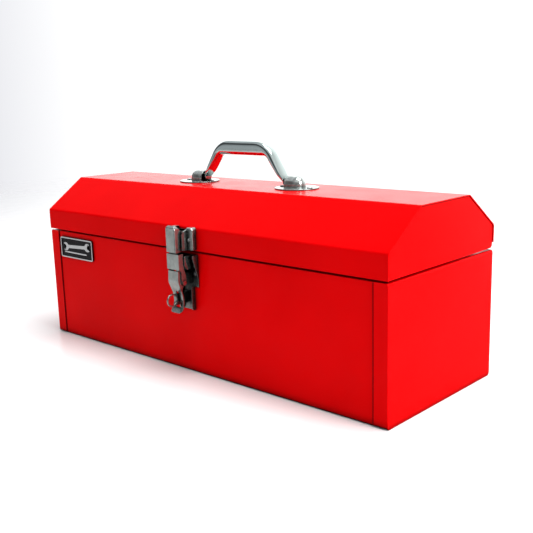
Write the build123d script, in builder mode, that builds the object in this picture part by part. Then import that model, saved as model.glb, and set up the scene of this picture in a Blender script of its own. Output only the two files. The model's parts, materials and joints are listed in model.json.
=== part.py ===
"""Hip-roof steel toolbox: sheet-metal body, hinged lid, folding handle, draw latch and lift-out tray.

Frame: origin at the centre of the underside, +X along the length, front towards -Y, +Z up, millimetres.
"""
from build123d import *

import os

# ---- driving dimensions -------------------------------------------------------------------------
LENGTH = 482.6  # outside the two end caps
DEPTH = 176.0  # over the end-cap flanges, front to back
BODY_H = 126.0
LID_BOTTOM = 128.0
LID_SKIRT_TOP = 150.6
LID_TOP = 184.2
LID_OVERHANG = 0.5
ROOF_HALF_FLAT = 40.6  # half width of the lid's flat top
SHEET = 1.0
FLANGE_WIDTH = 14.3  # end-cap flange that laps over the wrapper
BODY_BEND = 2.0
LID_BEND = 3.0
HEM = 8.0

HALF_L = LENGTH / 2
HALF_D = DEPTH / 2
WRAP_Y = HALF_D - SHEET  # outer face of the body wrapper
CAP_IN = HALF_L - SHEET  # inner face of an end cap
LID_X = HALF_L + LID_OVERHANG
LID_Y = HALF_D + LID_OVERHANG

# lid hinge
HINGE_Y = WRAP_Y + 2.8
HINGE_Z = 129.6
HINGE_LENGTH = 440.0
KNUCKLES = 15
KNUCKLE_R = 2.8
HINGE_PIN_R = 1.3
HINGE_RUN = 0.06  # radial running clearance of the turning knuckles

# handle
HANDLE_AXIS_Z = 190.8
BRACKET_X = 71.5  # centre of a bracket plate
BRACKET_RX = 23.0
BRACKET_RY = 21.5
BRACKET_T = 1.2
HOOD_IN = 61.0
HOOD_OUT = 80.5
HOOD_R = 8.2
HOOD_TOP = 196.5
HOOD_WALL = 1.2
TAB_IN = 56.6
TAB_OUT = 58.4
TAB_R = 5.0
TRUNNION_R = 4.2
TRUNNION_END = 73.5
GRIP_W = 14.0
GRIP_TOP = 230.3
GRIP_UNDER = 215.4
BRACKET_RIVETS = (52.8, 88.4)  # distances of the two rivets from the middle of the lid
BRACKET_RIVET_R = 1.6

# latch, measured forward from the front plane and up from the floor
LEVER_PIVOT = (14.5, 106.5)
ARM_PIVOT = (12.5, 97.0)
LATCH_PIN_R = 1.4
LATCH_RUN = 0.06
EYE_CENTRE = (21.6, 79.8)
EYE_R = 6.8
EYE_HOLE_R = 5.1
EYE_T = 1.6
LATCH_HALF = 16.0  # half width of the base and of the catch
LATCH_RIVET_X = 11.8
LATCH_RIVET_Z = 105.0
LATCH_RIVET_R = 1.9
LEVER_IN, LEVER_OUT = 6.2, 7.4  # lever cheeks, distance from the middle
CHEEK_IN, CHEEK_OUT = 7.6, 8.7  # arm cheeks
EAR_IN, EAR_OUT = 4.9, 6.0  # pivot ears of the base
GUIDE_IN, GUIDE_OUT = 9.0, 10.1
STRIKE_DEPTH = 7.0
STRIKE_RIVET_X = 11.5
STRIKE_RIVET_Z = 139.5
STRIKE_RIVET_R = 1.1

# badge
BADGE_W, BADGE_H = 61.8, 23.9
BADGE_X, BADGE_Z = -190.9, 107.8

# tray
TRAY_HALF_X = 232.0
TRAY_HALF_Y = 82.5
TRAY_FLOOR = 78.0
TRAY_RIM = 121.5
TRAY_BEND = 5.0
TRAY_GRIP_TOP = 150.5
TRAY_GRIP_FEET = 62.0
TRAY_RIVET_X = TRAY_GRIP_FEET + 8.0
TRAY_RIVET_Y = (-5.5, 5.5)
TRAY_RIVET_R = 1.5


# ---- helpers ------------------------------------------------------------------------------------
def block(x, y, z, mode=Mode.ADD):
    """A box between the given limits."""
    with Locations(((x[0] + x[1]) / 2, (y[0] + y[1]) / 2, (z[0] + z[1]) / 2)):
        Box(x[1] - x[0], y[1] - y[0], z[1] - z[0], mode=mode)


def rod_x(x, y, z, radius, mode=Mode.ADD):
    """A round bar along X between x[0] and x[1]."""
    with Locations(((x[0] + x[1]) / 2, y, z)):
        Cylinder(radius, x[1] - x[0], rotation=(0, 90, 0), mode=mode)


def rod_y(x, y, z, radius, mode=Mode.ADD):
    """A round bar along Y between y[0] and y[1]."""
    with Locations((x, (y[0] + y[1]) / 2, z)):
        Cylinder(radius, y[1] - y[0], rotation=(90, 0, 0), mode=mode)


def rod_z(x, y, z, radius, mode=Mode.ADD):
    """A round bar along Z between z[0] and z[1]."""
    with Locations((x, y, (z[0] + z[1]) / 2)):
        Cylinder(radius, z[1] - z[0], mode=mode)


def slab(points, x, mode=Mode.ADD):
    """The (y, z) outline, extruded from x[0] to x[1]."""
    with BuildSketch(Plane.YZ.offset(x[0])) as outline:
        Polygon(*points, align=None)
    extrude(outline.sketch, amount=x[1] - x[0], mode=mode)


def dome_y(x, face, z, radius, rise):
    """A low round head on a face that looks towards -Y."""
    with BuildSketch(Plane.XY.offset(z)) as half:
        with BuildLine():
            shoulder = (x + 0.69 * radius, face - 0.725 * rise)
            arc = ThreePointArc((x, face - rise), shoulder, (x + radius, face))
            Line(arc @ 1, (x, face))
            Line((x, face), arc @ 0)
        make_face()
    revolve(half.sketch, axis=Axis((x, face, z), (0, 1, 0)))


def bent_sheet(points, radius, x, thickness=SHEET):
    """Sheet metal folded along the (y, z) middle line, extruded from x[0] to x[1]."""
    with BuildSketch(Plane.YZ.offset(x[0])) as section:
        with BuildLine() as middle:
            FilletPolyline(*points, radius=radius)
        trace(middle.line, line_width=thickness)
    extrude(section.sketch, amount=x[1] - x[0])


def bent_strip(points, radius, half_width, thickness=SHEET):
    """Strip folded along the (x, z) middle line, as wide as 2 * half_width along Y."""
    with BuildSketch(Plane.XZ) as section:
        with BuildLine() as middle:
            FilletPolyline(*points, radius=radius)
        trace(middle.line, line_width=thickness)
    extrude(section.sketch, amount=half_width, both=True)


def ahead(points):
    """Latch outline points (forward, z) as (y, z)."""
    return [(-HALF_D - forward, z) for forward, z in points]


def both_ways(low, high):
    """The same distance from the middle on the right and on the left."""
    return (low, high), (-high, -low)


def sided(side, low, high):
    """Limits between two distances from the middle, on the given side."""
    return tuple(sorted((side * low, side * high)))


def finish(piece, name):
    """Label a finished piece and write it."""
    piece.part.label = name
    export_step(piece.part, f"parts/{name}.step")


os.makedirs("parts", exist_ok=True)


# ---- body ---------------------------------------------------------------------------------------
def make_body_shell():
    """Front, floor and back in one folded sheet, with a hemmed rim."""
    mid = WRAP_Y - SHEET / 2
    rim = [(-mid, BODY_H), (-mid, SHEET / 2), (mid, SHEET / 2), (mid, BODY_H)]
    with BuildPart() as body_shell:
        bent_sheet(rim, BODY_BEND - SHEET / 2, (-CAP_IN, CAP_IN))
        for side in (-1, 1):
            block((-CAP_IN, CAP_IN), sided(side, WRAP_Y - 2 * SHEET, WRAP_Y - SHEET / 2),
                  (BODY_H - HEM, BODY_H))
        fillet(body_shell.edges().filter_by(Axis.X).group_by(Axis.Z)[-1], radius=0.8)
        for x in (-LATCH_RIVET_X, LATCH_RIVET_X):
            rod_y(x, (-HALF_D, -HALF_D + 6), LATCH_RIVET_Z, LATCH_RIVET_R, mode=Mode.SUBTRACT)
    finish(body_shell, "body_shell")


def make_body_end(side, name):
    """End cap: plate with a rolled top edge and flanges lapped over the wrapper's front and back."""
    roll_depth = 7.0
    lap_bottom = 0.6
    plate_mid = HALF_L - SHEET / 2
    top_mid = BODY_H - SHEET / 2
    with BuildPart() as body_end:
        bent_strip([(side * (HALF_L - roll_depth), top_mid), (side * plate_mid, top_mid),
                    (side * plate_mid, 0)], 2.2, HALF_D)
        fillet(body_end.edges().filter_by(Axis.X).group_by(Axis.Z)[0], radius=BODY_BEND + SHEET)
        for back in (-1, 1):
            block(sided(side, HALF_L - roll_depth - 1, CAP_IN),
                  sided(back, WRAP_Y - 2 * SHEET - 0.5, HALF_D + 1),
                  (BODY_H - 4 * SHEET, BODY_H + 1), mode=Mode.SUBTRACT)
        with BuildSketch(Plane.YZ.offset(side * CAP_IN)) as lap:
            with Locations((0, BODY_H / 2)):
                outer = Rectangle(DEPTH, BODY_H)
            fillet(outer.vertices().group_by(Axis.Y)[0], radius=BODY_BEND + SHEET)
            with BuildSketch(mode=Mode.PRIVATE) as wrapper:
                with Locations((0, BODY_H / 2 + 5)):
                    inner = Rectangle(2 * WRAP_Y, BODY_H + 10)
                fillet(inner.vertices().group_by(Axis.Y)[0], radius=BODY_BEND)
            add(wrapper.sketch, mode=Mode.SUBTRACT)
            with Locations((0, 0)):
                Rectangle(DEPTH, 2 * lap_bottom, mode=Mode.SUBTRACT)
        extrude(lap.sketch, amount=-side * (FLANGE_WIDTH - SHEET))
    finish(body_end, name)


def make_tray_ledge(side, name):
    """Angle strip inside an end cap that carries the tray."""
    wall_mid = CAP_IN - SHEET / 2
    with BuildPart() as ledge:
        bent_strip([(side * wall_mid, TRAY_FLOOR - 12), (side * wall_mid, TRAY_FLOOR - SHEET / 2),
                    (side * (CAP_IN - 12.3), TRAY_FLOOR - SHEET / 2)], 1.5, 70.0)
    finish(ledge, name)


# ---- lid ----------------------------------------------------------------------------------------
def lid_middle_line(back_bottom):
    """Middle line of the lid's sheet, front hem to back edge."""
    y = LID_Y - SHEET / 2
    top = LID_TOP - SHEET / 2
    flat = ROOF_HALF_FLAT - 0.2
    shoulder = LID_SKIRT_TOP - 0.3
    return [(-y, LID_BOTTOM), (-y, shoulder), (-flat, top), (flat, top), (y, shoulder), (y, back_bottom)]


def make_lid_shell():
    """Skirts, slopes and flat top in one folded sheet."""
    inner = LID_Y - SHEET
    with BuildPart() as lid_shell:
        bent_sheet(lid_middle_line(LID_BOTTOM + 5.3), LID_BEND, (-LID_X, LID_X))
        block((-CAP_IN + 12, CAP_IN - 12), (-inner, -inner + SHEET), (LID_BOTTOM, LID_BOTTOM + 7))
        for side in (-1, 1):
            for distance in BRACKET_RIVETS:
                rod_z(side * distance, 0, (LID_TOP - 5, LID_TOP + 5), BRACKET_RIVET_R, mode=Mode.SUBTRACT)
            rod_y(side * STRIKE_RIVET_X, (-LID_Y - 1, -inner + 1), STRIKE_RIVET_Z, STRIKE_RIVET_R,
                  mode=Mode.SUBTRACT)
    finish(lid_shell, "lid_shell")


def lid_profile(x, gap):
    """The inside outline of the lid's sheet at x, moved in by the gap."""
    skirt_y = LID_Y - SHEET
    roof_z = LID_TOP - SHEET
    half = [(skirt_y, LID_BOTTOM), (skirt_y, LID_SKIRT_TOP - 0.56), (ROOF_HALF_FLAT - 0.36, roof_z)]
    with BuildSketch(Plane.YZ.offset(x)) as profile:
        Polygon(*half, *[(-y, z) for y, z in reversed(half)], align=None)
        if gap:
            offset(amount=-gap, kind=Kind.INTERSECTION, mode=Mode.REPLACE)
        upper = profile.vertices().filter_by_position(Axis.Y, LID_BOTTOM + 10, LID_TOP)
        fillet(upper, radius=LID_BEND - SHEET / 2)
        lower = profile.vertices().group_by(Axis.Y)[0].sort_by(Axis.X)
        fillet(lower[-1], radius=4.0)
    return profile.sketch


def make_lid_end(side, name):
    """End plate set 1 mm inside the lid's sheet, with a return flange along the skirts and the roof."""
    outer_x = LID_X - SHEET
    return_depth = 8.0
    with BuildPart() as lid_end:
        extrude(lid_profile(side * outer_x, 0), amount=-side * return_depth)
        extrude(lid_profile(side * (outer_x - SHEET), SHEET), amount=-side * return_depth,
                mode=Mode.SUBTRACT)
        block(sided(side, outer_x - return_depth - 1, outer_x - SHEET),
              (-LID_Y + 2 * SHEET + 0.6, LID_Y - 6),
              (LID_BOTTOM - 1, LID_BOTTOM + 2 * SHEET), mode=Mode.SUBTRACT)
        block(sided(side, outer_x - return_depth - 1, outer_x - SHEET), (-LID_Y, -LID_Y + 2 * SHEET + 0.6),
              (LID_BOTTOM - 1, LID_BOTTOM + 8), mode=Mode.SUBTRACT)
    finish(lid_end, name)


# ---- hinge --------------------------------------------------------------------------------------
def knuckle_spans(first):
    """X limits of every second knuckle of the hinge."""
    pitch = HINGE_LENGTH / KNUCKLES
    gap = 0.25
    starts = [-HINGE_LENGTH / 2 + pitch * i for i in range(first, KNUCKLES, 2)]
    return [(start + gap, start + pitch - gap) for start in starts]


def make_hinge_leaf(name, leaf_y, leaf_z, first, bore_r):
    """Leaf of the piano hinge with its rolled knuckles."""
    with BuildPart() as leaf:
        block((-HINGE_LENGTH / 2, HINGE_LENGTH / 2), leaf_y, leaf_z)
        for span in knuckle_spans(first):
            rod_x(span, HINGE_Y, HINGE_Z, KNUCKLE_R)
            strap = (HINGE_Z, leaf_z[0] + 0.5) if leaf_z[0] > HINGE_Z else (leaf_z[1] - 0.5, HINGE_Z)
            block(span, leaf_y, strap)
        rod_x((-HINGE_LENGTH, HINGE_LENGTH), HINGE_Y, HINGE_Z, bore_r, mode=Mode.SUBTRACT)
    finish(leaf, name)


def make_hinge_pin():
    """One wire through every knuckle."""
    with BuildPart() as hinge_pin:
        rod_x((-HINGE_LENGTH / 2, HINGE_LENGTH / 2), HINGE_Y, HINGE_Z, HINGE_PIN_R)
    finish(hinge_pin, "hinge_pin")


# ---- handle -------------------------------------------------------------------------------------
def bail_face(outer_gap, inner_gap):
    """Side view of the bail as a face, with its outer and inner lines moved in by the gaps."""
    slope_x = 0.866  # sine of the 60 degrees between a leg's outer line and the lid
    crown = (36.0 - outer_gap * 0.577, GRIP_TOP - outer_gap)
    foot_out = TAB_OUT - outer_gap / slope_x
    foot_in = TAB_IN + inner_gap * 1.36
    throat = (33.5 - inner_gap * 0.42, GRIP_UNDER + inner_gap)
    half = [crown, (foot_out, HANDLE_AXIS_Z - 0.5), (foot_in, HANDLE_AXIS_Z - 0.5), throat]
    with BuildSketch(Plane.XZ) as side:
        outline = Polygon(*half, *[(-x, z) for x, z in reversed(half)], align=None)
        fillet(outline.vertices().group_by(Axis.Y)[-1], radius=28.0 - outer_gap)
        throats = side.vertices().filter_by_position(Axis.Y, throat[1] - 0.01, throat[1] + 0.01)
        fillet(throats.filter_by_position(Axis.X, -34, 34), radius=8.0 + inner_gap)
    return side.sketch


def make_handle_bail():
    """Rolled hollow bail: its edges nearly meet inside, and a trunnion is turned out at each foot."""
    wall = 1.8
    half_w = GRIP_W / 2
    seam = 0.5
    with BuildPart() as handle_bail:
        extrude(bail_face(0, 0), amount=half_w, both=True)
        extrude(bail_face(wall, wall), amount=half_w - wall, both=True, mode=Mode.SUBTRACT)
        extrude(bail_face(wall, -4.0), amount=seam, both=True, mode=Mode.SUBTRACT)
        for side in (-1, 1):
            for edge in (-1, 1):
                full_width_z = HANDLE_AXIS_Z + 9
                waist = [(edge * TAB_R, 180), (edge * TAB_R, HANDLE_AXIS_Z), (edge * half_w, full_width_z),
                         (edge * 20, full_width_z), (edge * 20, 180)]
                slab(waist, sided(side, 40, TAB_OUT), mode=Mode.SUBTRACT)
            rod_x(sided(side, TAB_IN, TAB_OUT), 0, HANDLE_AXIS_Z, TAB_R)
            rod_x(sided(side, TAB_OUT - 0.1, TRUNNION_END), 0, HANDLE_AXIS_Z, TRUNNION_R)
    finish(handle_bail, "handle_bail")


def make_handle_bracket(side, name):
    """Pressed loop: an oval plate with a hood that is open towards the middle of the lid."""
    spring = HOOD_TOP - HOOD_R
    with BuildPart() as bracket:
        with BuildSketch(Plane.XY.offset(LID_TOP)) as plate:
            with Locations((side * BRACKET_X, 0)):
                Ellipse(BRACKET_RX, BRACKET_RY)
        extrude(plate.sketch, amount=BRACKET_T)
        with BuildPart(mode=Mode.PRIVATE) as hood:
            block(sided(side, HOOD_IN, HOOD_OUT), (-HOOD_R, HOOD_R), (LID_TOP, spring))
            rod_x(sided(side, HOOD_IN, HOOD_OUT), 0, spring, HOOD_R)
            crown_edges = hood.faces().sort_by(Axis.X)[-1 if side > 0 else 0].edges()
            fillet(crown_edges.filter_by_position(Axis.Z, LID_TOP + 0.1, HOOD_TOP + 1), radius=7.4)
        with BuildPart(mode=Mode.PRIVATE) as hollow:
            inner_r = HOOD_R - HOOD_WALL
            block(sided(side, HOOD_IN - 1, HOOD_OUT - HOOD_WALL), (-inner_r, inner_r), (LID_TOP - 1, spring))
            rod_x(sided(side, HOOD_IN - 1, HOOD_OUT - HOOD_WALL), 0, spring, inner_r)
            crown_edges = hollow.faces().sort_by(Axis.X)[-1 if side > 0 else 0].edges()
            fillet(crown_edges.filter_by_position(Axis.Z, LID_TOP, HOOD_TOP + 1), radius=6.2)
        add(hood.part)
        add(hollow.part, mode=Mode.SUBTRACT)
        split(bisect_by=Plane.XY.offset(LID_TOP), keep=Keep.TOP)
        for distance in BRACKET_RIVETS:
            rod_z(side * distance, 0, (LID_TOP - 1, LID_TOP + 3), BRACKET_RIVET_R, mode=Mode.SUBTRACT)
    finish(bracket, name)


def make_handle_rivets():
    """Four low-headed rivets through the bracket plates and the lid."""
    head_z = LID_TOP + BRACKET_T
    with BuildPart() as handle_rivets:
        for side in (-1, 1):
            for distance in BRACKET_RIVETS:
                rod_z(side * distance, 0, (LID_TOP - SHEET - 0.8, head_z + 0.5), BRACKET_RIVET_R)
                rod_z(side * distance, 0, (head_z, head_z + 1.0), 2.8)
                rod_z(side * distance, 0, (LID_TOP - SHEET - 0.8, LID_TOP - SHEET), 2.8)
    finish(handle_rivets, "handle_rivets")


# ---- latch --------------------------------------------------------------------------------------
def pivot_yz(pivot):
    """A latch pivot as (y, z)."""
    return -HALF_D - pivot[0], pivot[1]


def make_latch_base():
    """Pan riveted to the body, with side wings, pivot ears, guide walls and a narrow lower channel."""
    pan_floor = (-HALF_D - 0.2, -WRAP_Y)
    ear_y, ear_z = pivot_yz(LEVER_PIVOT)
    neck = [(0, 94), (0, 105.8), (12.1, 106.6), (13.9, 104.2), (6, 95)]
    with BuildPart() as latch_base:
        block((-LATCH_HALF, LATCH_HALF), pan_floor, (91, 124))
        block((-9.5, 9.5), pan_floor, (67, 92))
        for limits in both_ways(LATCH_HALF - 1.2, LATCH_HALF):
            slab(ahead([(0, 99), (0, 124), (6.6, 124), (6.6, 121)]), limits)
        for limits in both_ways(8.3, 9.5):
            slab(ahead([(0, 67), (0, 92.5), (2.5, 92.5), (4.0, 89), (4.0, 69), (2.5, 67)]), limits)
        for limits in both_ways(GUIDE_IN, GUIDE_OUT):
            slab(ahead([(0, 110), (0, 124), (11.2, 124), (12.2, 122.5), (12.2, 114), (9, 110)]), limits)
        for limits in both_ways(EAR_IN, EAR_OUT):
            rod_x(limits, ear_y, ear_z, 2.5)
            slab(ahead(neck), limits)
        rod_x((-EAR_OUT - 1, EAR_OUT + 1), ear_y, ear_z, LATCH_PIN_R, mode=Mode.SUBTRACT)
        for x in (-LATCH_RIVET_X, LATCH_RIVET_X):
            rod_y(x, (-HALF_D - 2, -WRAP_Y + 1), LATCH_RIVET_Z, LATCH_RIVET_R, mode=Mode.SUBTRACT)
    finish(latch_base, "latch_base")


def make_latch_eye():
    """Padlock eye: a plate on edge with a round hole, standing out through the lever."""
    eye_y, eye_z = pivot_yz(EYE_CENTRE)
    limits = (-EYE_T / 2, EYE_T / 2)
    with BuildPart() as latch_eye:
        rod_x(limits, eye_y, eye_z, EYE_R)
        slab(ahead([(0.2, 74.3), (0.2, 85.3), (21, 86.0), (21, 73.6)]), limits)
        rod_x((-5, 5), eye_y, eye_z, EYE_HOLE_R, mode=Mode.SUBTRACT)
        block((-4.5, 4.5), (-HALF_D - 1.4, -HALF_D - 0.2), (73.5, 86.1))
    finish(latch_eye, "latch_eye")


def make_latch_base_rivets():
    """Two round-headed rivets through the pan and the body's front."""
    face = -HALF_D - 0.2
    with BuildPart() as rivets:
        for x in (-LATCH_RIVET_X, LATCH_RIVET_X):
            rod_y(x, (face - 0.5, -WRAP_Y + SHEET + 0.9), LATCH_RIVET_Z, LATCH_RIVET_R)
            rod_y(x, (-WRAP_Y + SHEET, -WRAP_Y + SHEET + 0.9), LATCH_RIVET_Z, 3.2)
            dome_y(x, face, LATCH_RIVET_Z, 2.9, 2.0)
    finish(rivets, "latch_base_rivets")


def make_latch_lever():
    """Channel lever whose tongue bends towards the body, with an eye slot and a curled finger lip."""
    skin_t = 1.2
    spine = [(18.0, 109.2), (18.7, 98.2), (13.3, 84.4), (12.6, 76.5), (14.1, 70.6), (17.9, 66.2)]
    cheek = [(18.4, 109.2), (15.8, 110.4), (12.4, 109.4), (10.7, 106.5), (9.5, 98.0), (9.7, 95.8),
             (11.5, 94.0), (13.6, 92.0), (14.4, 88.8), (17.6, 96.5), (18.4, 99.0)]
    widths = [(109.2, 7.4), (95.0, 7.4), (86.0, 6.8), (77.0, 7.1), (70.0, 8.0), (67.8, 7.6), (65.6, 4.4)]
    with BuildPart() as latch_lever:
        with BuildSketch(Plane.YZ.offset(-LEVER_OUT - 1)) as section:
            with BuildLine() as middle:
                FilletPolyline(*ahead(spine), radius=[9.0, 16.0, 11.0, 5.0])
            trace(middle.line, line_width=skin_t)
        extrude(section.sketch, amount=2 * LEVER_OUT + 2)
        with BuildSketch(Plane.XZ.offset(HALF_D)) as front:
            right = [(half, z) for z, half in widths]
            outline = Polygon(*right, *[(-x, z) for x, z in reversed(right)], align=None)
            fillet(outline.vertices().group_by(Axis.Y)[0], radius=1.6)
            with Locations((0, 79.7)):
                SlotCenterToCenter(14.0, 3.4, rotation=90, mode=Mode.SUBTRACT)
            with Locations((0, 74.3)):
                RectangleRounded(9.4, 5.2, 1.2, mode=Mode.SUBTRACT)
        extrude(front.sketch, amount=25, mode=Mode.INTERSECT)
        for limits in both_ways(LEVER_IN, LEVER_OUT):
            slab(ahead(cheek), limits)
        for pivot in (LEVER_PIVOT, ARM_PIVOT):
            rod_x((-12, 12), *pivot_yz(pivot), LATCH_PIN_R + LATCH_RUN, mode=Mode.SUBTRACT)
    finish(latch_lever, "latch_lever")


def make_lever_pin():
    """Pivot pin of the lever, held in the base's ears."""
    with BuildPart() as lever_pin:
        rod_x((-LEVER_OUT, LEVER_OUT), *pivot_yz(LEVER_PIVOT), LATCH_PIN_R)
    finish(lever_pin, "latch_lever_pin")


def make_latch_arm():
    """Draw arm: cheeks outside the lever, and a capped hook that reaches over the lid's catch."""
    cheek = [(18.6, 110.6), (18.6, 126.2), (12.3, 126.2), (12.3, 111.5), (9.7, 104.0), (9.4, 97.5),
             (12.5, 94.0), (15.6, 97.5), (15.6, 107.5), (17.2, 110.6)]
    cap = [(20.6, 127.8), (20.6, 152.4), (18.6, 154.6), (16.6, 153.6), (10.9, 147.4), (10.3, 146.2),
           (10.3, 143.0), (12.8, 143.0), (12.8, 127.8)]
    hollow = [(19.4, 120), (19.4, 151.8), (18.3, 153.0), (17.2, 152.4), (11.5, 146.2), (11.5, 138), (5, 138),
              (5, 120)]
    neck = [(16.2, 121), (16.2, 132), (17.6, 132), (17.6, 121)]
    with BuildPart() as latch_arm:
        slab(ahead(cap), (-6.7, 6.7))
        slab(ahead(hollow), (-5.5, 5.5), mode=Mode.SUBTRACT)
        with BuildSketch(Plane.XZ.offset(HALF_D)) as front:
            with Locations((0, 140.2)):
                crown = Rectangle(13.4, 30.2)
            fillet(crown.vertices().group_by(Axis.Y)[-1], radius=5.2)
        extrude(front.sketch, amount=25, mode=Mode.INTERSECT)
        rim = latch_arm.faces().sort_by(Axis.Y)[0].outer_wire().edges()
        fillet(rim, radius=1.0)
        slab(ahead(neck), (-5.6, 5.6))
        block((-CHEEK_OUT, CHEEK_OUT), (-HALF_D - 18.6, -HALF_D - 17.5), (110.6, 126.2))
        for limits in both_ways(CHEEK_IN, CHEEK_OUT):
            slab(ahead(cheek), limits)
        rod_x((-12, 12), *pivot_yz(ARM_PIVOT), LATCH_PIN_R, mode=Mode.SUBTRACT)
    finish(latch_arm, "latch_arm")


def make_arm_rivets():
    """Two stub rivets that join the arm's cheeks to the lever's cheeks."""
    with BuildPart() as arm_rivets:
        for shank, head in zip(both_ways(LEVER_IN, CHEEK_OUT + 0.4), both_ways(CHEEK_OUT, CHEEK_OUT + 0.9)):
            rod_x(shank, *pivot_yz(ARM_PIVOT), LATCH_PIN_R)
            rod_x(head, *pivot_yz(ARM_PIVOT), 2.3)
    finish(arm_rivets, "latch_arm_rivets")


def make_latch_strike():
    """Catch on the lid: two hollow shoulders, two guide walls and a lip between them."""
    lid_face = -LID_Y
    round_r = 2.6
    with BuildPart() as strike:
        block((-LATCH_HALF, LATCH_HALF), (-HALF_D - STRIKE_DEPTH, lid_face), (129.5, 151.6))
        rim = strike.faces().sort_by(Axis.Y)[0].edges() - strike.edges().group_by(Axis.Z)[0]
        fillet(strike.edges().filter_by(Axis.Y).group_by(Axis.Z)[-1] + rim, radius=round_r)
        for limits in both_ways(9.8, LATCH_HALF - 1.2):
            block(limits, (-HALF_D - 4.6, lid_face + 1), (129, 149.2), mode=Mode.SUBTRACT)
            block((limits[0] + 1.4, limits[1] - 1.4), (-HALF_D - 5.8, lid_face + 1), (129, 148.0),
                  mode=Mode.SUBTRACT)
        block((-8.6, 8.6), (-HALF_D - 8, -HALF_D - 1.7), (129, 160), mode=Mode.SUBTRACT)
        block((-8.6, 8.6), (-HALF_D - 8, lid_face + 1), (149.0, 160), mode=Mode.SUBTRACT)
        for limits in both_ways(8.6, 9.8):
            slab(ahead([(0.5, 129.5), (0.5, 150.0), (6, 150.0), (11.6, 148.6), (13.7, 145.6),
                        (13.7, 129.5)]), limits)
        slab(ahead([(1.6, 145.8), (1.6, 147.0), (9.0, 147.0), (9.8, 146.4), (9.8, 140), (8.6, 140),
                    (8.6, 145.8)]), (-8.6, 8.6))
        for x in (-STRIKE_RIVET_X, STRIKE_RIVET_X):
            rod_y(x, (-HALF_D - 10, lid_face), STRIKE_RIVET_Z, STRIKE_RIVET_R, mode=Mode.SUBTRACT)
    finish(strike, "latch_strike")


def make_strike_rivets():
    """Two rivets through the catch's shoulders and the lid's front."""
    face = -HALF_D - STRIKE_DEPTH
    inside = -LID_Y + SHEET
    with BuildPart() as strike_rivets:
        for x in (-STRIKE_RIVET_X, STRIKE_RIVET_X):
            rod_y(x, (face - 0.4, inside + 0.9), STRIKE_RIVET_Z, STRIKE_RIVET_R)
            rod_y(x, (inside, inside + 0.9), STRIKE_RIVET_Z, 2.0)
            dome_y(x, face, STRIKE_RIVET_Z, 1.8, 0.9)
    finish(strike_rivets, "latch_strike_rivets")


# ---- badge --------------------------------------------------------------------------------------
def make_badge():
    """Name-plate blank: a dark field inside a raised bright border."""
    rim = 1.4
    plane = Plane.XZ.offset(WRAP_Y)
    with BuildPart() as badge_frame:
        with BuildSketch(plane) as ring:
            with Locations((BADGE_X, BADGE_Z)):
                RectangleRounded(BADGE_W, BADGE_H, 2.4)
                RectangleRounded(BADGE_W - 2 * rim, BADGE_H - 2 * rim, 1.2, mode=Mode.SUBTRACT)
        extrude(ring.sketch, amount=2.2)
    finish(badge_frame, "badge_frame")
    with BuildPart() as badge_field:
        with BuildSketch(plane) as field:
            with Locations((BADGE_X, BADGE_Z)):
                RectangleRounded(BADGE_W - 2 * rim, BADGE_H - 2 * rim, 1.2)
        extrude(field.sketch, amount=1.4)
    finish(badge_field, "badge_field")


# ---- tray ---------------------------------------------------------------------------------------
def make_tray_pan():
    """Front, floor and back of the tray in one folded sheet with hemmed rims."""
    mid = TRAY_HALF_Y - SHEET / 2
    floor_mid = TRAY_FLOOR + SHEET / 2
    inner_x = TRAY_HALF_X - SHEET
    with BuildPart() as tray_pan:
        bent_sheet([(-mid, TRAY_RIM), (-mid, floor_mid), (mid, floor_mid), (mid, TRAY_RIM)],
                   TRAY_BEND, (-inner_x, inner_x))
        for side in (-1, 1):
            block((-inner_x, inner_x), sided(side, TRAY_HALF_Y - 2 * SHEET, TRAY_HALF_Y - SHEET / 2),
                  (TRAY_RIM - 6, TRAY_RIM))
            for y in TRAY_RIVET_Y:
                rod_z(side * TRAY_RIVET_X, y, (TRAY_FLOOR - 1, TRAY_FLOOR + 3), TRAY_RIVET_R,
                      mode=Mode.SUBTRACT)
    finish(tray_pan, "tray_pan")


def make_tray_end(side, name):
    """End plate of the tray with a return flange under its rim."""
    corner = TRAY_BEND + SHEET / 2
    with BuildPart() as tray_end:
        with BuildSketch(Plane.YZ.offset(side * TRAY_HALF_X)) as face:
            with Locations((0, (TRAY_FLOOR + TRAY_RIM) / 2)):
                outline = Rectangle(2 * TRAY_HALF_Y, TRAY_RIM - TRAY_FLOOR)
            fillet(outline.vertices().group_by(Axis.Y)[0], radius=corner)
        extrude(face.sketch, amount=-side * SHEET)
        block(sided(side, TRAY_HALF_X - 7, TRAY_HALF_X - SHEET / 2), (-TRAY_HALF_Y + 2.4, TRAY_HALF_Y - 2.4),
              (TRAY_RIM - SHEET, TRAY_RIM))
    finish(tray_end, name)


def make_tray_handle():
    """Bent strap that stands on the tray floor, with two riveted feet."""
    strap_t = 1.6
    foot_z = TRAY_FLOOR + SHEET + strap_t / 2
    crown_z = TRAY_GRIP_TOP - strap_t / 2
    run = [(-TRAY_GRIP_FEET - 16, foot_z), (-TRAY_GRIP_FEET, foot_z), (-TRAY_GRIP_FEET + 6, crown_z),
           (TRAY_GRIP_FEET - 6, crown_z), (TRAY_GRIP_FEET, foot_z), (TRAY_GRIP_FEET + 16, foot_z)]
    with BuildPart() as tray_handle:
        with BuildSketch(Plane.XZ) as section:
            with BuildLine() as middle:
                FilletPolyline(*run, radius=[3.0, 10.0, 10.0, 3.0])
            trace(middle.line, line_width=strap_t)
        extrude(section.sketch, amount=10.0, both=True)
        for side in (-1, 1):
            for y in TRAY_RIVET_Y:
                rod_z(side * TRAY_RIVET_X, y, (TRAY_FLOOR, TRAY_FLOOR + 5), TRAY_RIVET_R, mode=Mode.SUBTRACT)
    finish(tray_handle, "tray_handle")


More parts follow.
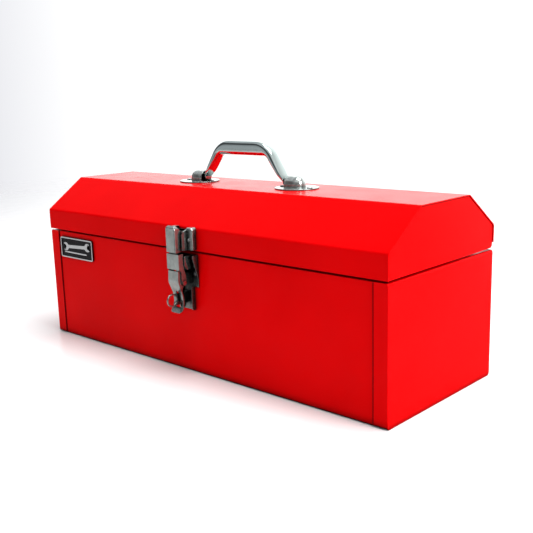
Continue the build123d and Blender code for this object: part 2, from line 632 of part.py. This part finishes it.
def make_tray_rivets():
    """Four rivets through the strap's feet and the tray floor."""
    foot_top = TRAY_FLOOR + SHEET + 1.6
    with BuildPart() as tray_rivets:
        for side in (-1, 1):
            for y in TRAY_RIVET_Y:
                rod_z(side * TRAY_RIVET_X, y, (TRAY_FLOOR, foot_top + 0.5), TRAY_RIVET_R)
                rod_z(side * TRAY_RIVET_X, y, (foot_top, foot_top + 1.2), 2.6)
    finish(tray_rivets, "tray_handle_rivets")


make_body_shell()
make_body_end(-1, "body_end_left")
make_body_end(1, "body_end_right")
make_tray_ledge(-1, "tray_ledge_left")
make_tray_ledge(1, "tray_ledge_right")
make_lid_shell()
make_lid_end(-1, "lid_end_left")
make_lid_end(1, "lid_end_right")
make_hinge_leaf("hinge_leaf_body", (WRAP_Y, WRAP_Y + SHEET), (106.0, 125.8), 0, HINGE_PIN_R)
make_hinge_leaf("hinge_leaf_lid", (LID_Y, LID_Y + SHEET), (133.3, 148.5), 1, HINGE_PIN_R + HINGE_RUN)
make_hinge_pin()
make_handle_bail()
make_handle_bracket(-1, "handle_bracket_left")
make_handle_bracket(1, "handle_bracket_right")
make_handle_rivets()
make_latch_base()
make_latch_eye()
make_latch_base_rivets()
make_latch_lever()
make_lever_pin()
make_latch_arm()
make_arm_rivets()
make_latch_strike()
make_strike_rivets()
make_badge()
make_tray_pan()
make_tray_end(-1, "tray_end_left")
make_tray_end(1, "tray_end_right")
make_tray_handle()
make_tray_rivets()
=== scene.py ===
"""Looks of the red steel toolbox: enamel, plated hardware and a studio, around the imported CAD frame."""
import json
import math

import bmesh
import bpy
from mathutils import Matrix, Vector


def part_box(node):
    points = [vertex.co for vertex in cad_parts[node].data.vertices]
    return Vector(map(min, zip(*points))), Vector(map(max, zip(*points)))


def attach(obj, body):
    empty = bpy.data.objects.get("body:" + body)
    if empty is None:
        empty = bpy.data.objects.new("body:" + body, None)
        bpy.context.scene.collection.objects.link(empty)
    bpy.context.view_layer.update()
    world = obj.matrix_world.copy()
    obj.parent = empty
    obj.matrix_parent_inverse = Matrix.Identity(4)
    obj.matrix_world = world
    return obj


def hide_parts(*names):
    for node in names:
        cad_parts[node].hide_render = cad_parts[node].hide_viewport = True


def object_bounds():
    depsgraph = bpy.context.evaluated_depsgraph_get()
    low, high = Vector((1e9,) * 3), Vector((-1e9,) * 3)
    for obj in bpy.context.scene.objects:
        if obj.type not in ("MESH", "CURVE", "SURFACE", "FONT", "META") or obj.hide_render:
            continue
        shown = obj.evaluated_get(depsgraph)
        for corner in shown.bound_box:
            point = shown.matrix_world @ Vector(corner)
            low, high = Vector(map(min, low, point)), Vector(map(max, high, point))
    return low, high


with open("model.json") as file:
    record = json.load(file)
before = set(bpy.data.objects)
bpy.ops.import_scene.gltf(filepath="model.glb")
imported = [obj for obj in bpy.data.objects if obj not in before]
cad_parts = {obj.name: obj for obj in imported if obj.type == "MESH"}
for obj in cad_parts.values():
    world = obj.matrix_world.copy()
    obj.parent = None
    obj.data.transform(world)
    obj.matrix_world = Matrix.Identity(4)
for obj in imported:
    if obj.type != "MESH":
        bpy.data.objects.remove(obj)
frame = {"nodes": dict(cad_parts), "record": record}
CAD_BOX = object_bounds()
MM = 0.001
nodes = frame["nodes"]


# ---- materials ----------------------------------------------------------------------------------
def new_material(name):
    """An empty node material: (material, node tree, principled shader)."""
    material = bpy.data.materials.new(name)
    material.use_nodes = True
    tree = material.node_tree
    return material, tree, tree.nodes["Principled BSDF"]


def noise(tree, scale, detail=2.0):
    """Noise in object space, in features of 1/scale metres."""
    coord = tree.nodes.new("ShaderNodeTexCoord")
    texture = tree.nodes.new("ShaderNodeTexNoise")
    texture.inputs["Scale"].default_value = scale
    texture.inputs["Detail"].default_value = detail
    tree.links.new(coord.outputs["Object"], texture.inputs["Vector"])
    return texture.outputs["Fac"]


def ramp(tree, source, low, high, start=0.3, stop=0.7):
    """Map a grey source onto the range low..high."""
    node = tree.nodes.new("ShaderNodeMapRange")
    node.inputs["From Min"].default_value = start
    node.inputs["From Max"].default_value = stop
    node.inputs["To Min"].default_value = low
    node.inputs["To Max"].default_value = high
    tree.links.new(source, node.inputs["Value"])
    return node.outputs["Result"]


def bump(tree, shader, source, strength, distance, below=None):
    """Add a bump layer to the shader."""
    node = tree.nodes.new("ShaderNodeBump")
    node.inputs["Strength"].default_value = strength
    node.inputs["Distance"].default_value = distance
    tree.links.new(source, node.inputs["Height"])
    if below:
        tree.links.new(below, node.inputs["Normal"])
    tree.links.new(node.outputs["Normal"], shader.inputs["Normal"])
    return node.outputs["Normal"]


def two_tone(tree, source, dark, light, start=0.35, stop=0.65):
    """Colour that goes from one tone to another as the source goes from start to stop."""
    node = tree.nodes.new("ShaderNodeMix")
    node.data_type = "RGBA"
    node.inputs["A"].default_value = (*dark, 1)
    node.inputs["B"].default_value = (*light, 1)
    tree.links.new(ramp(tree, source, 0, 1, start, stop), node.inputs["Factor"])
    return node.outputs["Result"]


def grey_of(tree, value):
    """A grey colour from one value."""
    node = tree.nodes.new("ShaderNodeCombineColor")
    for channel in ("Red", "Green", "Blue"):
        tree.links.new(value, node.inputs[channel])
    return node.outputs["Color"]


def switch(tree, factor, plain, other):
    """Plain where the factor is 0, other where it is 1; each is a number or a socket."""
    node = tree.nodes.new("ShaderNodeMix")
    node.data_type = "FLOAT"
    tree.links.new(factor, node.inputs["Factor"])
    for name, value in (("A", plain), ("B", other)):
        if isinstance(value, float):
            node.inputs[name].default_value = value
        else:
            tree.links.new(value, node.inputs[name])
    return node.outputs["Result"]


def along(tree, source, direction):
    """How far a position or direction goes along a fixed direction."""
    node = tree.nodes.new("ShaderNodeVectorMath")
    node.operation = "DOT_PRODUCT"
    node.inputs[1].default_value = direction
    tree.links.new(source, node.inputs[0])
    return node.outputs["Value"]


def shade_recesses(tree, colour, reach, floor, closed=0.35, clear=0.92):
    """Paint shade into a colour: darken it where the surface is hemmed in by others within the reach, in
    metres, as painted shade in corners, gaps and recesses.

    It keeps a share of floor where the openness is closed or less, and all of itself from clear upward.
    """
    # painted shade: ambient occlusion multiplies the base colour itself
    occlusion = tree.nodes.new("ShaderNodeAmbientOcclusion")
    occlusion.inputs["Distance"].default_value = reach
    occlusion.samples = 8
    mix = tree.nodes.new("ShaderNodeMix")
    mix.data_type = "RGBA"
    mix.blend_type = "MULTIPLY"
    mix.inputs["Factor"].default_value = 1.0
    tree.links.new(colour, mix.inputs["A"])
    shade = ramp(tree, occlusion.outputs["AO"], floor, 1.0, closed, clear)
    tree.links.new(grey_of(tree, shade), mix.inputs["B"])
    return mix.outputs["Result"]


def make_enamel():
    """Sprayed gloss enamel: deep red, faint orange peel, a little tone drift, and painted shade in its gaps
    and recesses.
    """
    material, tree, shader = new_material("red_enamel_paint")
    colour = two_tone(tree, noise(tree, 9.0), (0.70, 0.0003, 0.0010), (0.78, 0.0006, 0.0016))
    # painted shade: darker within 10 mm of other surfaces, in gaps and behind the hardware
    tree.links.new(shade_recesses(tree, colour, 0.010, 0.04), shader.inputs["Base Color"])
    tree.links.new(ramp(tree, noise(tree, 40.0, 3.0), 0.16, 0.22), shader.inputs["Roughness"])
    shader.inputs["Specular IOR Level"].default_value = 0.025
    peel = bump(tree, shader, noise(tree, 900.0, 1.0), 0.05, 0.0003)
    bump(tree, shader, noise(tree, 14.0, 1.0), 0.12, 0.002, peel)
    return material


# Painted shade in recesses for the plated looks, deep and shallow.
DEEP_RECESS_SHADE = (0.03, 0.03, 0.50, 0.97)  # reach, floor, closed and clear of shade_recesses
SHALLOW_RECESS_SHADE = (0.012, 0.12, 0.35, 0.90)


def make_plated(name, tone, low, high, scale, strength=0.04, drift=60.0, dull=0.93, metal=1.0,
                recess=DEEP_RECESS_SHADE):
    """Plated metal of roughness low to high, with painted shade in its recesses; below 1 metal it is a little
    hazy.

    Its tone drifts down to the share dull of itself, in features of 1/drift metres.
    """
    material, tree, shader = new_material(name)
    colour = two_tone(tree, noise(tree, drift), [c * dull for c in tone], tone)
    # painted shade: the plating is darker where other surfaces hem it in
    tree.links.new(shade_recesses(tree, colour, *recess), shader.inputs["Base Color"])
    shader.inputs["Metallic"].default_value = metal
    tree.links.new(ramp(tree, noise(tree, scale, 4.0), low, high), shader.inputs["Roughness"])
    bump(tree, shader, noise(tree, scale * 2, 2.0), strength, 0.0002)
    return material


def make_black():
    """Gloss black lacquer of the badge field."""
    material, tree, shader = new_material("badge_lacquer")
    colour = two_tone(tree, noise(tree, 120.0), (0.004, 0.004, 0.005), (0.010, 0.010, 0.012))
    tree.links.new(colour, shader.inputs["Base Color"])
    tree.links.new(ramp(tree, noise(tree, 400.0, 3.0), 0.22, 0.34), shader.inputs["Roughness"])
    shader.inputs["Specular IOR Level"].default_value = 0.12
    bump(tree, shader, noise(tree, 1500.0, 1.0), 0.05, 0.0002)
    return material


def make_joint_shade_look():
    """Dark red for the joints: partly real enamel pooled in a joint, partly painted shade of the gap."""
    material, tree, shader = new_material("joint_shade_look")
    colour = two_tone(tree, noise(tree, 200.0), (0.07, 0.0, 0.001), (0.13, 0.0005, 0.0015))
    tree.links.new(colour, shader.inputs["Base Color"])
    tree.links.new(ramp(tree, noise(tree, 500.0), 0.45, 0.6), shader.inputs["Roughness"])
    shader.inputs["Specular IOR Level"].default_value = 0.03
    return material


ENAMEL = make_enamel()
# painted shade for the joints, partly real pooled enamel
SEAM_SHADE = make_joint_shade_look()
CHROME = make_plated("bright_chrome", (0.66, 0.76, 0.74), 0.06, 0.13, 300.0, recess=SHALLOW_RECESS_SHADE)
ZINC = make_plated("zinc_plate", (0.72, 0.73, 0.74), 0.22, 0.36, 500.0, strength=0.1)
PRESSED = make_plated("pressed_plate", (0.58, 0.64, 0.62), 0.14, 0.28, 240.0, strength=0.3, drift=320.0,
                      dull=0.60, metal=0.75, recess=SHALLOW_RECESS_SHADE)
LATCH = make_plated("latch_plate", (0.50, 0.54, 0.52), 0.10, 0.20, 240.0, strength=0.1, drift=200.0,
                    dull=0.80, metal=0.88)
BRIGHT = make_plated("bright_rim", (0.86, 0.87, 0.88), 0.12, 0.2, 300.0)
BLACK = make_black()
LOOKS = {"red_enamel": ENAMEL, "tray_enamel": ENAMEL, "chrome": CHROME, "zinc": ZINC, "badge_black": BLACK,
         "badge_bright": BRIGHT}

for part in frame["record"]["subparts"]:
    mesh = nodes[part["node"]].data
    mesh.materials.clear()
    mesh.materials.append(LOOKS[part["material_slot"]])


# ---- shape of the bail, in millimetres ----------------------------------------------------------
BAIL_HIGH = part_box("handle_bail")[1]
GRIP_WIDTH = 2 * BAIL_HIGH.y / MM
GRIP_UNDER = 215.4
SHOULDER_X, SHOULDER_R = 19.8, 28.0  # end of the level grip, and the bend that follows it
THROAT_X, THROAT_R = 33.5, 8.0  # inner corner between grip and leg
LEG_ANGLE = math.radians(47.4)  # of a leg's inner line below the level
PIVOT_Z = 190.8
FOOT_X, FOOT_T, FOOT_R = 58.4, 1.8, 5.0
TAPER_HEIGHT = 9.0  # above the pivot, where a leg reaches the grip's width
TRUNNION_R = 4.2
GRIP_STATIONS = (0.0, 8.0, 15.0, SHOULDER_X)
GRIP_FLARE = 1.1  # the grip's underside runs this much further out than its top
BENDS = 8  # sections round the shoulder
BEND_ANGLE = 60.0  # degrees that the outer line turns through at the shoulder
BEND_INNER_X, BEND_INNER_STEP = 25.5, 1.64  # inner line: x before the first section, and step to each
LEG_STATIONS = (0.2, 0.4, 0.58, 0.7, 0.8, 0.9, 1.0)  # shares of the way from the bend to the pivot
FOOT_ANGLES = (19, 37, 55, 70, 82)  # degrees below level round the foot's disc
FOOT_DROP = 0.2  # of the inner line's end below the pivot
OUTER_EDGE_R = 4.2
DEEP_SECTION, DEEP_EDGE_R = 9.0, 5.4  # inner edges of a section deeper than this are rolled fully
THIN_EDGE_R = 0.5  # and they sharpen toward this as the leg thins


# ---- pieces in place of CAD nodes ---------------------------------------------------------------
def as_piece(bm, name, body, slot, smooth_angle=40.0, look=None):
    """Turn a bmesh into a named piece that rides on a body, in the slot's look or in one given."""
    bmesh.ops.recalc_face_normals(bm, faces=bm.faces)
    mesh = bpy.data.meshes.new(name)
    bm.to_mesh(mesh)
    bm.free()
    mesh.materials.append(look or LOOKS[slot])
    piece = bpy.data.objects.new(name, mesh)
    bpy.context.scene.collection.objects.link(piece)
    mesh.shade_smooth()
    mesh.set_sharp_from_angle(angle=math.radians(smooth_angle))
    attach(piece, body)
    return piece


def rounded_section(height, width, outer_r, inner_r, steps=6):
    """Closed section: points (across, sideways), across from 0 at the inner to height at the outer face."""
    points = []
    limit = min(height, width) / 2 * 0.98  # keeps a short flat between two full corners
    corners = ((1, 1, outer_r, 0), (0, 1, inner_r, 90), (0, -1, inner_r, 180), (1, -1, outer_r, 270))
    for outer, sign, radius, start in corners:
        radius = min(radius, limit)
        centre_a = height - radius if outer else radius
        centre_s = sign * (width / 2 - radius)
        for i in range(steps + 1):
            angle = math.radians(start + 90.0 * i / steps)
            points.append((centre_a + radius * math.cos(angle), centre_s + radius * math.sin(angle)))
    return points


def skin(bm, rings):
    """Join equal rings of points with quads and close both ends."""
    made = [[bm.verts.new(point) for point in ring] for ring in rings]
    for first, second in zip(made, made[1:]):
        for i in range(len(first)):
            j = (i + 1) % len(first)
            bm.faces.new((first[i], first[j], second[j], second[i]))
    bm.faces.new(made[0])
    bm.faces.new(list(reversed(made[-1])))


def between(a, b, t):
    """Point part of the way from a to b."""
    return tuple(p + (q - p) * t for p, q in zip(a, b))


def throat_z(x):
    """Height of the bail's inner line at x: level under the grip, an arc, then straight down the leg."""
    tangent = THROAT_R * math.tan(LEG_ANGLE / 2)
    arc_start = THROAT_X - tangent
    arc_end = THROAT_X + tangent * math.cos(LEG_ANGLE)
    if x <= arc_start:
        return GRIP_UNDER
    if x <= arc_end:
        return GRIP_UNDER - THROAT_R + math.sqrt(THROAT_R ** 2 - (x - arc_start) ** 2)
    return GRIP_UNDER - (x - THROAT_X) * math.tan(LEG_ANGLE)


def bail_stations():
    """Half of the bail, from the middle of the grip to a foot: (outer x z, inner x z, width) in mm."""
    top = BAIL_HIGH.z / MM
    stations = [((x, top), (x * GRIP_FLARE, GRIP_UNDER), GRIP_WIDTH) for x in GRIP_STATIONS]
    for i in range(1, BENDS + 1):
        angle = math.radians(BEND_ANGLE * i / BENDS)
        outer = (SHOULDER_X + SHOULDER_R * math.sin(angle), top - SHOULDER_R * (1 - math.cos(angle)))
        inner_x = BEND_INNER_X + BEND_INNER_STEP * i
        stations.append((outer, (inner_x, throat_z(inner_x)), GRIP_WIDTH))
    bend_out, bend_in = stations[-1][0], stations[-1][1]
    for t in LEG_STATIONS:
        outer = between(bend_out, (FOOT_X, PIVOT_Z), t)
        inner = between(bend_in, (FOOT_X - FOOT_T, PIVOT_Z - FOOT_DROP), t)
        widening = (GRIP_WIDTH - 2 * FOOT_R) * (outer[1] - PIVOT_Z) / TAPER_HEIGHT
        stations.append((outer, inner, min(GRIP_WIDTH, 2 * FOOT_R + widening)))
    for degrees in FOOT_ANGLES:
        drop = FOOT_R * math.sin(math.radians(degrees))
        width = 2 * FOOT_R * math.cos(math.radians(degrees))
        stations.append(((FOOT_X, PIVOT_Z - drop), (FOOT_X - FOOT_T, PIVOT_Z - drop), width))
    return stations


def make_bail():
    """Chromed bail with rounded edges, deep at the grip and thin at its feet."""
    bm = bmesh.new()
    half = bail_stations()
    rings = []
    for side in (-1, 1):
        run = half[::-1] if side < 0 else half[1:]
        for outer, inner, width in run:
            depth = math.hypot(outer[0] - inner[0], outer[1] - inner[1])
            inner_r = DEEP_EDGE_R if depth > DEEP_SECTION else max(THIN_EDGE_R, 0.6 * depth - 1.5)
            ring = []
            for across, sideways in rounded_section(depth, width, OUTER_EDGE_R, inner_r):
                x, z = between(inner, outer, across / depth)
                ring.append((side * x * MM, sideways * MM, z * MM))
            rings.append(ring)
    skin(bm, rings)
    length = BAIL_HIGH.x - FOOT_X * MM
    for side in (-1, 1):
        middle = (side * (FOOT_X * MM + length / 2), 0, PIVOT_Z * MM)
        turn = Matrix.Translation(middle) @ Matrix.Rotation(math.radians(90), 4, "Y")
        bmesh.ops.create_cone(bm, cap_ends=True, segments=40, radius1=TRUNNION_R * MM,
                              radius2=TRUNNION_R * MM, depth=length, matrix=turn)
    piece = as_piece(bm, "bail_polished", "bail", "chrome")
    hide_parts("handle_bail")


MERGE = 1e-6  # metres, for the split vertices of a CAD mesh
FLAT = math.radians(1.0)  # faces that turn less than this are one face
SHARP = math.radians(38.0)  # edges that turn more than this are rolled over


def soften(node, body, slot, width, look):
    """Copy of a CAD node whose sharp edges are rolled over, as pressed and plated metal has them."""
    bm = bmesh.new()
    bm.from_mesh(nodes[node].data)
    bmesh.ops.remove_doubles(bm, verts=bm.verts, dist=MERGE)
    bmesh.ops.dissolve_limit(bm, angle_limit=FLAT, verts=bm.verts, edges=bm.edges)
    sharp = [e for e in bm.edges if len(e.link_faces) == 2 and e.calc_face_angle(0.0) > SHARP]
    bmesh.ops.bevel(bm, geom=sharp, offset=width * MM, segments=2, profile=0.5, affect="EDGES",
                    clamp_overlap=True)
    piece = as_piece(bm, node + "_finished", body, slot, look=look)
    even = piece.modifiers.new("even_normals", "WEIGHTED_NORMAL")
    even.keep_sharp = True
    even.weight = 100
    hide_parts(node)


BAR_EDGE = 0.3  # rolled edge of a bar, as a share of its least side


def strip_piece(name, body, slot, boxes, look=None):
    """Several small bars as one piece: (low corner, high corner) in millimetres."""
    bm = bmesh.new()
    for low, high in boxes:
        size = [abs(b - a) for a, b in zip(low, high)]
        middle = [(a + b) / 2 * MM for a, b in zip(low, high)]
        stretch = Matrix.Diagonal([value * MM for value in size] + [1.0])
        made = bmesh.ops.create_cube(bm, size=1.0, matrix=Matrix.Translation(middle) @ stretch)
        edges = list({e for v in made["verts"] for e in v.link_edges})
        bmesh.ops.bevel(bm, geom=edges, offset=min(size) * BAR_EDGE * MM, segments=2, profile=0.5,
                        affect="EDGES")
    as_piece(bm, name, body, slot, look=look)


# Seams and joints, dark strips of painted shade, in millimetres.
SEAM_WIDTH = 1.3
SEAM_DEPTHS = (0.3, 1.0)  # below the flange's face, near and far side of the dark strip
SEAM_ABOVE, SEAM_BELOW = 2.5, 0.8  # its ends, from the cap's bottom and top
ROOF_JOINT_ACROSS = (-0.3, 0.35)  # inward and outward of the end plate's outer face
ROOF_JOINT_HALF = 39.6  # along the roof's flat
ROOF_JOINT_DROPS = (0.8, 0.02)  # below the plate's top


def make_seam_shade_strips():
    """Dark strips in the joints: where each end cap's flange laps front and back, partly the real
    paint-filled joint and partly painted shade, and under the roof's edge, a painted shadow of the overhang.
    """
    boxes = []
    for side in (-1, 1):
        cap_low, cap_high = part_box("body_end_left" if side < 0 else "body_end_right")
        edge = (cap_high.x if side < 0 else cap_low.x) / MM
        for face in (cap_low.y / MM, cap_high.y / MM):
            inward = 1 if face < 0 else -1
            near, far = sorted(face + inward * depth for depth in SEAM_DEPTHS)
            xs = sorted((edge, edge - side * SEAM_WIDTH))
            bottom, top = cap_low.z / MM + SEAM_ABOVE, cap_high.z / MM - SEAM_BELOW
            boxes.append(((xs[0], near, bottom), (xs[1], far, top)))
    # painted shade along the laps, partly the real paint-filled joint
    strip_piece("cap_seam_shade", "box", "red_enamel", boxes, SEAM_SHADE)
    boxes = []
    for side in (-1, 1):
        end_low, end_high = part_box("lid_end_left" if side < 0 else "lid_end_right")
        plate = (end_low.x if side < 0 else end_high.x) / MM
        xs = sorted(plate + side * across for across in ROOF_JOINT_ACROSS)
        bottom, top = (end_high.z / MM - drop for drop in ROOF_JOINT_DROPS)
        boxes.append(((xs[0], -ROOF_JOINT_HALF, bottom), (xs[1], ROOF_JOINT_HALF, top)))
    # painted shadow under the roof's overhang
    strip_piece("roof_joint_shadow", "lid", "red_enamel", boxes, SEAM_SHADE)


# The badge's mark, in millimetres, from the middle of the badge.
MARK_RAISED, MARK_SUNK = 0.35, 0.05  # its front and back, from the badge's face
MARK_RISE = 2.0  # of the spanner above the middle
MARK_TILT = math.radians(3.0)
JAW = [(15.6, -1.9), (19.0, -4.6), (22.5, -4.9), (25.6, -3.6), (21.4, -1.9), (20.4, 0.0), (21.4, 1.9),
       (25.6, 3.6), (22.5, 4.9), (19.0, 4.6), (15.6, 1.9)]
LINE_LEFT, LINE_RIGHT, LINE_DROP, LINE_HEIGHT = 24, 19, 6.2, 1.7


def make_emblem():
    """Plain raised mark on the badge: a double open-ended spanner over a line."""
    low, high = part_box("badge_field")
    middle_x, middle_z = (low.x + high.x) / 2 / MM, (low.z + high.z) / 2 / MM
    face = low.y / MM
    outline = [(-x, z) for x, z in reversed(JAW)] + JAW
    tilt = Matrix.Rotation(MARK_TILT, 2)
    bm = bmesh.new()
    flat = []
    for point in outline:
        x, z = tilt @ Vector(point)
        corner = Vector((middle_x + x, face - MARK_RAISED, middle_z + MARK_RISE + z))
        flat.append(bm.verts.new(corner * MM))
    bmesh.ops.triangulate(bm, faces=[bm.faces.new(flat)])
    grown = bmesh.ops.extrude_face_region(bm, geom=bm.faces[:])
    moved = [v for v in grown["geom"] if isinstance(v, bmesh.types.BMVert)]
    bmesh.ops.translate(bm, verts=moved, vec=(0, (MARK_RAISED + MARK_SUNK) * MM, 0))
    as_piece(bm, "badge_mark", "box", "badge_bright", 30.0)
    bottom = middle_z - LINE_DROP
    strip_piece("badge_line", "box", "badge_bright",
                [((middle_x - LINE_LEFT, face - MARK_RAISED, bottom),
                  (middle_x + LINE_RIGHT, face + MARK_SUNK, bottom + LINE_HEIGHT))])


make_bail()
make_seam_shade_strips()
make_emblem()
ROLLED_EDGES = (
    ("latch_base", "box", "chrome", 0.3, LATCH), ("latch_eye", "box", "chrome", 0.35, LATCH),
    ("latch_lever", "lever", "chrome", 0.3, LATCH), ("latch_arm", "arm", "chrome", 0.3, LATCH),
    ("latch_strike", "lid", "chrome", 0.3, LATCH), ("badge_frame", "box", "badge_bright", 0.5, BRIGHT),
    ("tray_handle", "tray", "chrome", 0.4, CHROME), ("handle_rivets", "lid", "zinc", 0.35, ZINC),
    ("handle_bracket_left", "lid", "chrome", 0.45, PRESSED),
    ("handle_bracket_right", "lid", "chrome", 0.45, PRESSED),
    ("lid_shell", "lid", "red_enamel", 0.25, ENAMEL), ("lid_end_left", "lid", "red_enamel", 0.25, ENAMEL),
    ("lid_end_right", "lid", "red_enamel", 0.25, ENAMEL), ("body_end_left", "box", "red_enamel", 0.3, ENAMEL),
    ("body_end_right", "box", "red_enamel", 0.3, ENAMEL))  # node, body, slot, edge width in mm, look
for entry in ROLLED_EDGES:
    soften(*entry)


# ---- studio -------------------------------------------------------------------------------------
# Metres. A ..._SEEN value is what reflections see: (value at start, value at stop, start, stop) along a way.
FLOOR_HALF = 3.0
FLOOR_GAP = 0.0002  # below the box, so that the two faces never coincide
FLOOR_WHITE = 0.93
FLOOR_WAY, FLOOR_SEEN = (-0.8, 0.6, 0.0), (0.15, 0.52, -0.08, 0.0)
FADE_START, FADE_STOP = 1.1, 2.2  # distance from the middle over which the board turns clear
BEHIND_WAY, BEHIND_SEEN = (-0.3, 0.95, 0.0), (0.10, 1.80, 0.25, 0.85)
LOW_SEEN, HIGH_SEEN = (0.60, 0.04, -0.02, 0.14), (0.04, 0.75, 0.50, 0.62)  # upward
EVEN_LIGHT = 0.45  # strength for light that isn't mirrored
CAMERA_WHITE = 1.15
PLAIN_SIDE, COOL_SIDE = (1.0, 1.0, 1.0), (0.68, 0.685, 0.72)
COOL_WAY, COOL_START, COOL_STOP = (-0.736, -0.676, 0.0), 0.17, 0.34


def make_floor():
    """White board under the object that fades into the surroundings before its edge is seen.

    Reflections see it dark in front and to the right, so that the enamel stays deep and the plating keeps
    its contrast.
    """
    material, tree, shader = new_material("studio_floor")
    coord = tree.nodes.new("ShaderNodeTexCoord")
    path = tree.nodes.new("ShaderNodeLightPath")
    mirrored = ramp(tree, along(tree, coord.outputs["Object"], FLOOR_WAY), *FLOOR_SEEN)
    shade = switch(tree, path.outputs["Is Glossy Ray"], FLOOR_WHITE, mirrored)
    tree.links.new(grey_of(tree, shade), shader.inputs["Base Color"])
    tree.links.new(ramp(tree, noise(tree, 30.0), 0.2, 0.26), shader.inputs["Roughness"])
    shader.inputs["Specular IOR Level"].default_value = 0.1
    reach = tree.nodes.new("ShaderNodeVectorMath")
    reach.operation = "LENGTH"
    tree.links.new(coord.outputs["Object"], reach.inputs[0])
    fade = ramp(tree, reach.outputs["Value"], 1.0, 0.0, FADE_START, FADE_STOP)
    tree.links.new(fade, shader.inputs["Alpha"])
    mesh = bpy.data.meshes.new("floor")
    corners = [(x * FLOOR_HALF, y * FLOOR_HALF, 0) for x, y in ((-1, -1), (1, -1), (1, 1), (-1, 1))]
    mesh.from_pydata(corners, [], [(0, 1, 2, 3)])
    mesh.materials.append(material)
    floor = bpy.data.objects.new("floor", mesh)
    floor.location.z = CAD_BOX[0][2] - FLOOR_GAP
    bpy.context.scene.collection.objects.link(floor)


def make_world():
    """Studio surroundings: white to the camera and cooler on the left, and a soft light on everything.

    Reflections see them bright behind the object, low down and overhead, and dark in between.
    """
    world = bpy.data.worlds.new("studio")
    world.use_nodes = True
    tree = world.node_tree
    background = tree.nodes["Background"]
    direction = tree.nodes.new("ShaderNodeTexCoord").outputs["Generated"]
    path = tree.nodes.new("ShaderNodeLightPath")
    height = along(tree, direction, (0.0, 0.0, 1.0))
    mirrored = ramp(tree, along(tree, direction, BEHIND_WAY), *BEHIND_SEEN)
    for band in (LOW_SEEN, HIGH_SEEN):
        brighter = tree.nodes.new("ShaderNodeMath")
        brighter.operation = "MAXIMUM"
        tree.links.new(mirrored, brighter.inputs[0])
        tree.links.new(ramp(tree, height, *band), brighter.inputs[1])
        mirrored = brighter.outputs["Value"]
    lit = switch(tree, path.outputs["Is Glossy Ray"], EVEN_LIGHT, mirrored)
    seen = switch(tree, path.outputs["Is Camera Ray"], lit, CAMERA_WHITE)
    tree.links.new(seen, background.inputs["Strength"])
    left = along(tree, direction, COOL_WAY)
    tint = two_tone(tree, left, PLAIN_SIDE, COOL_SIDE, COOL_START, COOL_STOP)
    tree.links.new(tint, background.inputs["Color"])
    bpy.context.scene.world = world


def area_light(name, where, target, size, power):
    """Square soft box at a point, aimed at a target: sizes in metres, power in watts."""
    lamp = bpy.data.lights.new(name, "AREA")
    lamp.shape = "SQUARE"
    lamp.size = size
    lamp.energy = power
    holder = bpy.data.objects.new(name, lamp)
    holder.location = where
    holder.rotation_euler = (Vector(target) - Vector(where)).to_track_quat("-Z", "Y").to_euler()
    bpy.context.scene.collection.objects.link(holder)


CAMERA_AT = Vector((598.94, -614.96, 278.20)) * MM
CAMERA_RIGHT = Vector((0.735938, 0.676479, -0.027769))
CAMERA_DOWN = Vector((0.121797, -0.172626, -0.977428))
CAMERA_FORWARD = Vector((-0.666003, 0.715945, -0.209435))


def make_camera():
    """Camera in front of the object's right end and slightly above it."""
    turn = Matrix((CAMERA_RIGHT, -CAMERA_DOWN, -CAMERA_FORWARD)).transposed().to_4x4()
    lens = bpy.data.cameras.new("camera")
    lens.sensor_width = 36.0
    lens.lens = 54.57
    lens.clip_end = 200.0
    camera = bpy.data.objects.new("camera", lens)
    camera.matrix_world = Matrix.Translation(CAMERA_AT) @ turn
    bpy.context.scene.collection.objects.link(camera)
    bpy.context.scene.camera = camera


make_floor()
make_world()
make_camera()
area_light("side", (2.4, 0.1, 1.0), (0.2, 0, 0.1), 1.3, 55)
area_light("top", (0.45, 0.25, 2.3), (0, 0, 0.1), 1.5, 62)
bpy.context.scene.view_settings.view_transform = "Standard"
